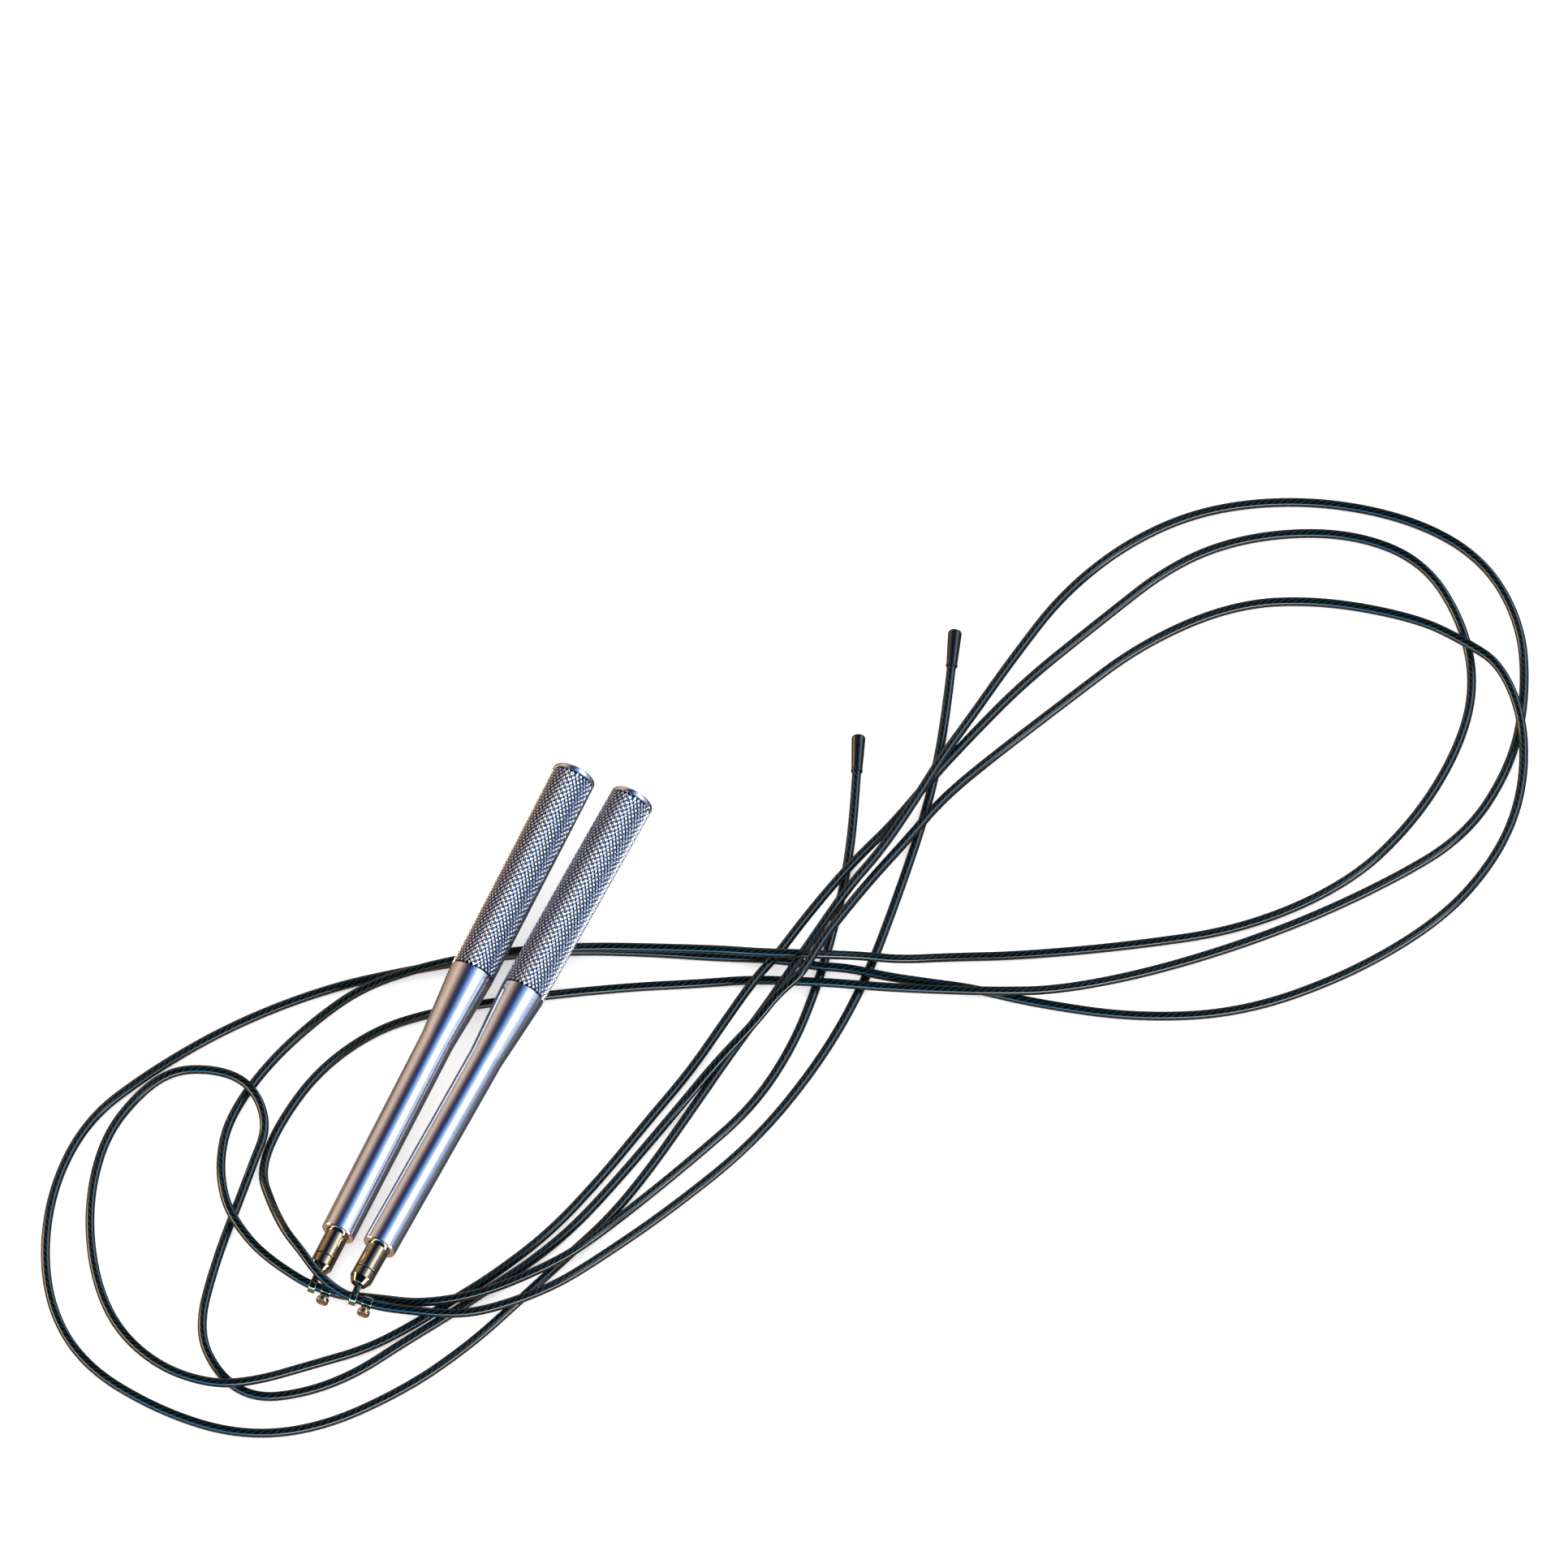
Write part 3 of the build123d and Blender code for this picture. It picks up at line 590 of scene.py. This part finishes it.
def reflector_material():
    """Studio reflectors: bands round the handles' direction behind, and a lit horizon in front."""
    material = bpy.data.materials.new("studio_reflectors")
    material.use_nodes = True
    tree = material.node_tree
    tree.nodes.clear()
    local = add_node(tree, "ShaderNodeTexCoord").outputs["Object"]
    direction = add_node(tree, "ShaderNodeVectorMath", {0: local}, operation="NORMALIZE").outputs["Vector"]
    apart = add_node(tree, "ShaderNodeSeparateXYZ", {"Vector": direction}).outputs
    angle = add_node(
        tree, "ShaderNodeMath", {0: apart["X"], 1: apart["Z"]}, operation="ARCTAN2"
    ).outputs["Value"]

    def at(degrees):
        return (degrees + 180) / 360

    # Behind, from straight down by -X and over the top: brown, tan, navy, blue, mauve and slate.
    bands = [
        (0.0, "#6E605A"), (at(-150), "#6A5C56"), (at(-125), "#8C7A70"), (at(-80), "#C4A994"),
        (at(-60), "#DCC0AA"), (at(-42), "#97807A"), (at(-25), "#3C3248"), (at(-9), "#22284A"),
        (at(1), "#3A5C9E"), (at(10), "#6E9EDC"), (at(23), "#B4D4FF"), (at(34), "#D0E4FF"),
        (at(60), "#C0D6F8"), (at(70), "#A2B8E0"), (at(88), "#8E9AB6"), (at(104), "#85808C"),
        (at(128), "#4C505A"), (at(160), "#40464F"), (1.0, "#6E605A"),
    ]
    band_colour = ramp(tree, share_of(tree, angle, -math.pi, math.pi), bands)
    strip = near(tree, angle, math.radians(STRIP_ANGLE), math.radians(STRIP_HALF_WIDTH), STRIP_STRENGTH)
    behind = add_node(
        tree, "ShaderNodeAddShader",
        {0: glow(tree, band_colour, BAND_STRENGTH), 1: glow(tree, linear("#F4F8FF"), strip)},
    )

    # In front: tan below, navy above, and a lit line that runs from tan to blue to white.
    sky = [(0.0, "#B09078"), (0.47, "#C9A584"), (0.5, "#7F6C5C"), (0.54, "#1E3658"), (1.0, "#16263C")]
    horizon = [
        (0.0, "#E9C8A2"), (0.2, "#D8C4B0"), (0.33, "#58B0F0"), (0.62, "#58B0F0"), (0.85, "#EAF4FF"),
    ]
    sky_colour = ramp(tree, share_of(tree, apart["Z"], -1.0, 1.0), sky)
    horizon_colour = ramp(tree, share_of(tree, apart["X"], -1.0, 1.0), horizon)
    line = near(tree, apart["Z"], HORIZON_HEIGHT, HORIZON_HALF_HEIGHT, HORIZON_STRENGTH)
    ahead = add_node(
        tree, "ShaderNodeAddShader",
        {0: glow(tree, sky_colour, SKY_STRENGTH), 1: glow(tree, horizon_colour, line)},
    )
    both = add_node(
        tree, "ShaderNodeMixShader",
        {0: share_of(tree, apart["Y"], FRONT_ENDS, BACK_STARTS),
         1: ahead.outputs["Shader"], 2: behind.outputs["Shader"]},
    )
    add_node(tree, "ShaderNodeOutputMaterial", {"Surface": both.outputs["Shader"]})
    return material


def cable_line():
    """The cable's centre line, read from a NURBS spline with the route as its control points."""
    data = bpy.data.curves.new("cable_line", "CURVE")
    data.dimensions = "3D"
    data.resolution_u = 12
    spline = data.splines.new("NURBS")
    spline.points.add(len(ROUTE) - 1)
    for point, place in zip(spline.points, ROUTE):
        point.co = (*(Vector(place) * MM), 1.0)
    spline.order_u = 3
    spline.use_endpoint_u = True
    holder = bpy.data.objects.new("cable_line", data)
    mesh = bpy.data.meshes.new_from_object(holder)
    line = [vertex.co.copy() for vertex in mesh.vertices]
    bpy.data.meshes.remove(mesh)
    bpy.data.objects.remove(holder)
    bpy.data.curves.remove(data)
    return line


def make_cable(sizes):
    """The cable as a tube round its line, with UVs that the strands follow."""
    line = cable_line()
    sides = sizes.cable_sides
    mesh = bmesh.new()
    uv = mesh.loops.layers.uv.new("round_and_along")
    across = (line[1] - line[0]).orthogonal().normalized()
    travelled = 0.0
    rings, distances = [], []
    for n, point in enumerate(line):
        ahead = (line[min(n + 1, len(line) - 1)] - line[max(n - 1, 0)]).normalized()
        across = (across - ahead * across.dot(ahead)).normalized()
        other = ahead.cross(across)
        if n:
            travelled += (point - line[n - 1]).length
        distances.append(travelled)
        ring = []
        for s in range(sides):
            turn = math.tau * s / sides
            outwards = across * math.cos(turn) + other * math.sin(turn)
            ring.append(mesh.verts.new(point + outwards * (CABLE_DIAMETER / 2 * MM)))
        rings.append(ring)
    for n in range(len(rings) - 1):
        for s in range(sides):
            after = (s + 1) % sides
            face = mesh.faces.new((rings[n][s], rings[n][after], rings[n + 1][after], rings[n + 1][s]))
            places = ((s, n), (s + 1, n), (s + 1, n + 1), (s, n + 1))
            for loop, (step, ring_number) in zip(face.loops, places):
                loop[uv].uv = (step / sides, distances[ring_number])
    mesh.faces.new(list(reversed(rings[0])))
    mesh.faces.new(rings[-1])
    cable = to_piece("coated_cable", mesh, coated_strand(sizes), Matrix(), crisp=60)
    stand_for(cable, "rope", "cable")
    return cable, line


def make_tail_caps():
    """A moulded cap on each end of the cable, drawn from the end that it covers."""
    wire, lip = CABLE_DIAMETER / 2, CAP_MOUTH_RADIUS + CAP_LIP
    mouth, tip = -CAP_BORE_DEPTH, CAP_LENGTH - CAP_BORE_DEPTH
    outline = [
        (0, 0), (wire, 0), (wire, mouth), (lip, mouth), (lip, mouth + CAP_LIP_LENGTH),
        (CAP_MOUTH_RADIUS, mouth + CAP_LIP_LENGTH + CAP_LIP_SLOPE), (CAP_RADIUS, tip - CAP_CROWN),
        (CAP_RADIUS - CAP_CROWN_EDGE, tip - CAP_CROWN_EDGE), (CAP_RADIUS - CAP_CROWN, tip), (0, tip),
    ]
    black = moulded_black()
    caps = []
    for name, end, before in (("long_tail", ROUTE[0], ROUTE[1]), ("short_tail", ROUTE[-1], ROUTE[-2])):
        place = line_place(Vector(end) * MM, Vector(end) - Vector(before))
        cap = turned_piece(
            name + "_moulded_cap", outline, black, place, columns=SMALL_COLUMNS
        )
        stand_for(cap, "rope", name + "_cap")
        caps.append(cap)
    return caps


def make_clamps(nickel):
    """A collar round the cable beside each eye, and the thumb screw that locks it."""
    collar = [
        (CLAMP_BORE, -CLAMP_LENGTH / 2), (CLAMP_RADIUS, -CLAMP_LENGTH / 2),
        (CLAMP_RADIUS, CLAMP_LENGTH / 2), (CLAMP_BORE, CLAMP_LENGTH / 2),
    ]
    tip, head_end = CLAMP_BORE + SCREW_GAP, SCREW_HEAD_START + SCREW_HEAD_HEIGHT
    dish, rim = head_end - SCREW_DISH_DEPTH, SCREW_HEAD_RADIUS - SCREW_RIM
    screw = [
        (0, tip), (SCREW_RADIUS, tip), (SCREW_RADIUS, SCREW_HEAD_START),
        (SCREW_HEAD_RADIUS, SCREW_HEAD_START), (SCREW_HEAD_RADIUS, head_end),
        (rim, head_end), (rim - SCREW_DISH_SLOPE, dish), (0, dish),
    ]
    pieces = []
    for side in SIDES:
        cable_way = JOINTS[side + "_clamp_slide"]["axis"]
        turn = JOINTS[side + "_screw_turn"]
        place = line_place(turn["pos_m"], cable_way)
        ring = turned_piece(
            side + "_collar", collar, nickel, place, COLLAR_EASE, SMALL_COLUMNS
        )
        stand_for(ring, side + "_clamp", side + "_clamp_collar")
        place = line_place(turn["pos_m"], turn["axis"])
        stem = turned_piece(
            side + "_screw", screw, nickel, place, SCREW_EASE, SMALL_COLUMNS
        )
        stand_for(stem, side + "_screw", side + "_thumb_screw")
        pieces += [ring, stem]
    return pieces


def make_eyes(nickel):
    """Tongue and ring cut from one plate with broken edges, and the ball at its end."""
    half = TONGUE_DEPTH / 2 - PLATE_EDGE
    outer, inner = RING_RADIUS - PLATE_EDGE, RING_BORE + PLATE_EDGE
    start = math.asin(half / outer)
    steps = 40
    plate_end = EYE_REACH - PLATE_END
    rim = [(half, plate_end)]
    for n in range(steps + 1):
        angle = start + (math.tau - 2 * start) * n / steps
        rim.append((outer * math.sin(angle), outer * math.cos(angle)))
    rim.append((-half, plate_end))
    angles = [math.tau * n / steps for n in range(steps)]
    hole = [(inner * math.sin(angle), inner * math.cos(angle)) for angle in angles]
    for side in SIDES:
        swing = JOINTS[side + "_eye_swing"]
        tilt = JOINTS[side + "_ball_tilt"]
        eye, ball = Vector(swing["pos_m"]), Vector(tilt["pos_m"])
        up = (ball - eye).normalized()
        width_way = Vector(swing["axis"]).normalized()
        depth_way = up.cross(width_way).normalized()
        width_way = depth_way.cross(up)
        # Plate drawn in X (depth) and Y (towards the ball), thick along Z (the cable).
        place = Matrix.Translation(eye) @ Matrix((depth_way, up, depth_way.cross(up))).transposed().to_4x4()
        data = bpy.data.curves.new("plate", "CURVE")
        data.dimensions = "2D"
        data.fill_mode = "BOTH"
        data.extrude = (EYE_WIDTH / 2 - PLATE_EDGE) * MM
        data.bevel_depth = PLATE_EDGE * MM
        data.bevel_resolution = 2
        for points in (rim, hole):
            spline = data.splines.new("POLY")
            spline.points.add(len(points) - 1)
            for point, (x, y) in zip(spline.points, points):
                point.co = (x * MM, y * MM, 0, 1)
            spline.use_cyclic_u = True
        holder = bpy.data.objects.new("plate", data)
        plate = bpy.data.meshes.new_from_object(holder)
        mesh = bmesh.new()
        mesh.from_mesh(plate)
        for face in mesh.faces:
            face.material_index = 0
        bmesh.ops.remove_doubles(mesh, verts=mesh.verts, dist=1e-7)
        bmesh.ops.create_uvsphere(
            mesh, u_segments=40, v_segments=24, radius=BALL_RADIUS * MM,
            matrix=Matrix.Translation((0, EYE_REACH * MM, 0)),
        )
        bpy.data.objects.remove(holder)
        bpy.data.curves.remove(data)
        bpy.data.meshes.remove(plate)
        piece = to_piece(side + "_tongue", mesh, nickel, place, crisp=40)
        stand_for(piece, side + "_eye", side + "_eye")


def make_swivels(nickel):
    """The socket round each ball, and the sleeve whose shaft turns in the handle."""
    cavity = BALL_RADIUS + SOCKET_CLEARANCE
    mouth_turn = math.acos(SOCKET_MOUTH / cavity)
    socket = [
        (SOCKET_MOUTH, SOCKET_RIM), (SOCKET_RIM_RADIUS, SOCKET_RIM), (SWIVEL_RADIUS, SOCKET_SLOPE_END),
        (SWIVEL_RADIUS, SOCKET_END), (NOSE_RADIUS, SOCKET_END), (NOSE_RADIUS, NOSE_START),
        (cavity, NOSE_START),
    ]
    steps = 8
    for n in range(steps + 1):
        turn = mouth_turn * n / steps
        socket.append((cavity * math.cos(turn), -cavity * math.sin(turn)))
    nose_floor, shoulder, race = BALL_RADIUS + NOSE_CLEARANCE, FACE + SHOULDER, FACE + LIP
    spindle = [
        (0, nose_floor), (NOSE_BORE, nose_floor), (NOSE_BORE, NOSE_START), (NOSE_RADIUS, NOSE_START),
        (NOSE_RADIUS, SLEEVE_START), (SWIVEL_RADIUS, SLEEVE_START), (SWIVEL_RADIUS, shoulder),
        (RACE_IN, shoulder), (RACE_IN, race), (SHAFT_RADIUS, race), (SHAFT_RADIUS, SHAFT_END),
        (0, SHAFT_END),
    ]
    for side in SIDES:
        place = handle_place(side)
        for name, outline, node in (("socket", socket, "socket_cap"), ("sleeve", spindle, "spindle")):
            piece = turned_piece(
                f"{side}_{name}", outline, nickel, place, SWIVEL_EASE, SWIVEL_COLUMNS
            )
            stand_for(piece, side + "_spindle", f"{side}_{node}")


def make_handles(sizes):
    """Barrel, cone and knurled grip turned from one bar, and the stopper in its end."""
    smooth = turned_metal(
        "turned_clear_anodised_aluminium", sizes.aluminium, "#DADDE3",
        roughness=0.2, mark_spacing=0.4, mark_depth=0.0006,
    )
    knurled = knurled_aluminium(sizes)
    depth = sizes.knurl_depth / MM
    cone_start = FACE + BARREL_LENGTH
    grip_start = cone_start + CONE_LENGTH
    end = grip_start + GRIP_LENGTH
    plug_start, land = end - PLUG_LENGTH, end - GRIP_END_LAND
    front = [
        (BORE_RADIUS, plug_start), (BORE_RADIUS, FACE + LIP), (FACE_OPENING, FACE + LIP),
        (FACE_OPENING, FACE),
    ]
    for radius, place, corner in (
        (BARREL_RADIUS, FACE, FACE_CORNER),
        (CONE_END_RADIUS, cone_start, CONE_START_CORNER),
        (GRIP_RADIUS, grip_start, CONE_FINISH_CORNER),
    ):
        front += [(radius - inside, place + past) for inside, past in corner]
    rear = [(GRIP_RADIUS, land)]
    for turn in range(0, 91, 15):
        inside = GRIP_END_ROUND * (1 - math.cos(math.radians(turn)))
        back = GRIP_END_ROUND * (1 - math.sin(math.radians(turn)))
        rear.append((GRIP_RADIUS - inside, end - back))
    rear += [(BORE_RADIUS, end), (BORE_RADIUS, plug_start)]
    plug_radius, plug_dish = BORE_RADIUS - PLUG_FIT, end - PLUG_DISH_DEPTH
    plug = [
        (0, plug_start), (plug_radius, plug_start), (plug_radius, end), (BORE_RADIUS - PLUG_RIM, end),
        (PLUG_DISH, plug_dish), (0, plug_dish),
    ]
    for side in SIDES:
        mesh = bmesh.new()
        front_rings = add_turned(mesh, front, GRIP_COLUMNS, closed=False)
        first, last = add_knurl(mesh, grip_start + KNURL_MARGIN, land - KNURL_MARGIN, depth)
        rear_rings = add_turned(mesh, rear, GRIP_COLUMNS, closed=False)
        bridge(mesh, front_rings[-1], first)
        bridge(mesh, last, rear_rings[0])
        bmesh.ops.remove_doubles(mesh, verts=front_rings[0] + rear_rings[-1], dist=1e-6)
        body = to_piece(
            side + "_knurled_handle", mesh, [smooth, knurled], handle_place(side),
            crisp=30,
        )
        stand_for(body, side + "_handle", side + "_handle_body")
        stopper = turned_piece(side + "_stopper", plug, smooth, handle_place(side))
        stand_for(stopper, side + "_handle", side + "_end_plug")


def finish_inner_parts():
    """Bearings, spacers, rings and nuts keep their CAD shape and get turned or ground steel."""
    turned = turned_metal(
        "turned_steel", "#B4B5B8", "#9FA0A3", roughness=0.3, mark_spacing=0.3, mark_depth=0.01
    )
    ground = turned_metal(
        "ground_bearing_steel", "#C9CACD", "#BCBDC0", roughness=0.12, mark_spacing=0.2, mark_depth=0.003
    )
    for row in frame["record"]["subparts"]:
        finish = {"turned_steel": turned, "bearing_steel": ground}.get(row["material_slot"])
        if finish:
            for slot in frame["nodes"][row["node"]].material_slots:
                slot.material = finish


class JUMPROPE_OT_stage(bpy.types.Operator):
    """Camera, floor, light and reflectors"""

    bl_idname = "jump_rope.stage"
    bl_label = "Stage"

    def execute(self, context):
        camera_and_stage()
        return {"FINISHED"}


class JUMPROPE_OT_cable(bpy.types.Operator):
    """The coated cable with its end caps, collars and thumb screws"""

    bl_idname = "jump_rope.cable"
    bl_label = "Cable, caps and clamps"

    def execute(self, context):
        sizes = context.scene.jump_rope
        cable, line = make_cable(sizes)
        caps = make_tail_caps()
        clamps = make_clamps(bright_nickel(sizes))
        return {"FINISHED"}


class JUMPROPE_OT_eyes(bpy.types.Operator):
    """The tongue, ring and ball that hang each handle on the cable"""

    bl_idname = "jump_rope.eyes"
    bl_label = "Swivel eyes"

    def execute(self, context):
        make_eyes(bright_nickel(context.scene.jump_rope))
        return {"FINISHED"}


class JUMPROPE_OT_swivels(bpy.types.Operator):
    """The socket and sleeve that turn in each handle"""

    bl_idname = "jump_rope.swivels"
    bl_label = "Swivels"

    def execute(self, context):
        make_swivels(bright_nickel(context.scene.jump_rope))
        return {"FINISHED"}


class JUMPROPE_OT_handles(bpy.types.Operator):
    """Turned handles with a knurled grip, and the stoppers in their ends"""

    bl_idname = "jump_rope.handles"
    bl_label = "Handles"

    def execute(self, context):
        make_handles(context.scene.jump_rope)
        return {"FINISHED"}


class JUMPROPE_OT_inner_parts(bpy.types.Operator):
    """Steel finishes for the bearings and what holds them"""

    bl_idname = "jump_rope.inner_parts"
    bl_label = "Bearings and fixings"

    def execute(self, context):
        finish_inner_parts()
        return {"FINISHED"}


STEPS = (
    JUMPROPE_OT_stage, JUMPROPE_OT_cable, JUMPROPE_OT_eyes,
    JUMPROPE_OT_swivels, JUMPROPE_OT_handles, JUMPROPE_OT_inner_parts,
)


class JUMPROPE_PT_sidebar(bpy.types.Panel):
    """Lists the steps in the order that they run"""

    bl_label = "Jump Rope"
    bl_space_type = "VIEW_3D"
    bl_region_type = "UI"
    bl_category = "Jump Rope"

    def draw(self, context):
        for name in ("cable_sides", "strand_lay", "knurl_depth", "aluminium", "nickel", "strand"):
            self.layout.prop(context.scene.jump_rope, name)
        for step in STEPS:
            self.layout.operator(step.bl_idname)


CLASSES = (JumpRopeSizes, *STEPS, JUMPROPE_PT_sidebar)


def register():
    for one in CLASSES:
        bpy.utils.register_class(one)
    bpy.types.Scene.jump_rope = bpy.props.PointerProperty(type=JumpRopeSizes)


def unregister():
    del bpy.types.Scene.jump_rope
    for one in reversed(CLASSES):
        bpy.utils.unregister_class(one)


def main():
    register()
    for step in STEPS:
        family, action = step.bl_idname.split(".")
        getattr(getattr(bpy.ops, family), action)()


if __name__ == "__main__":
    main()
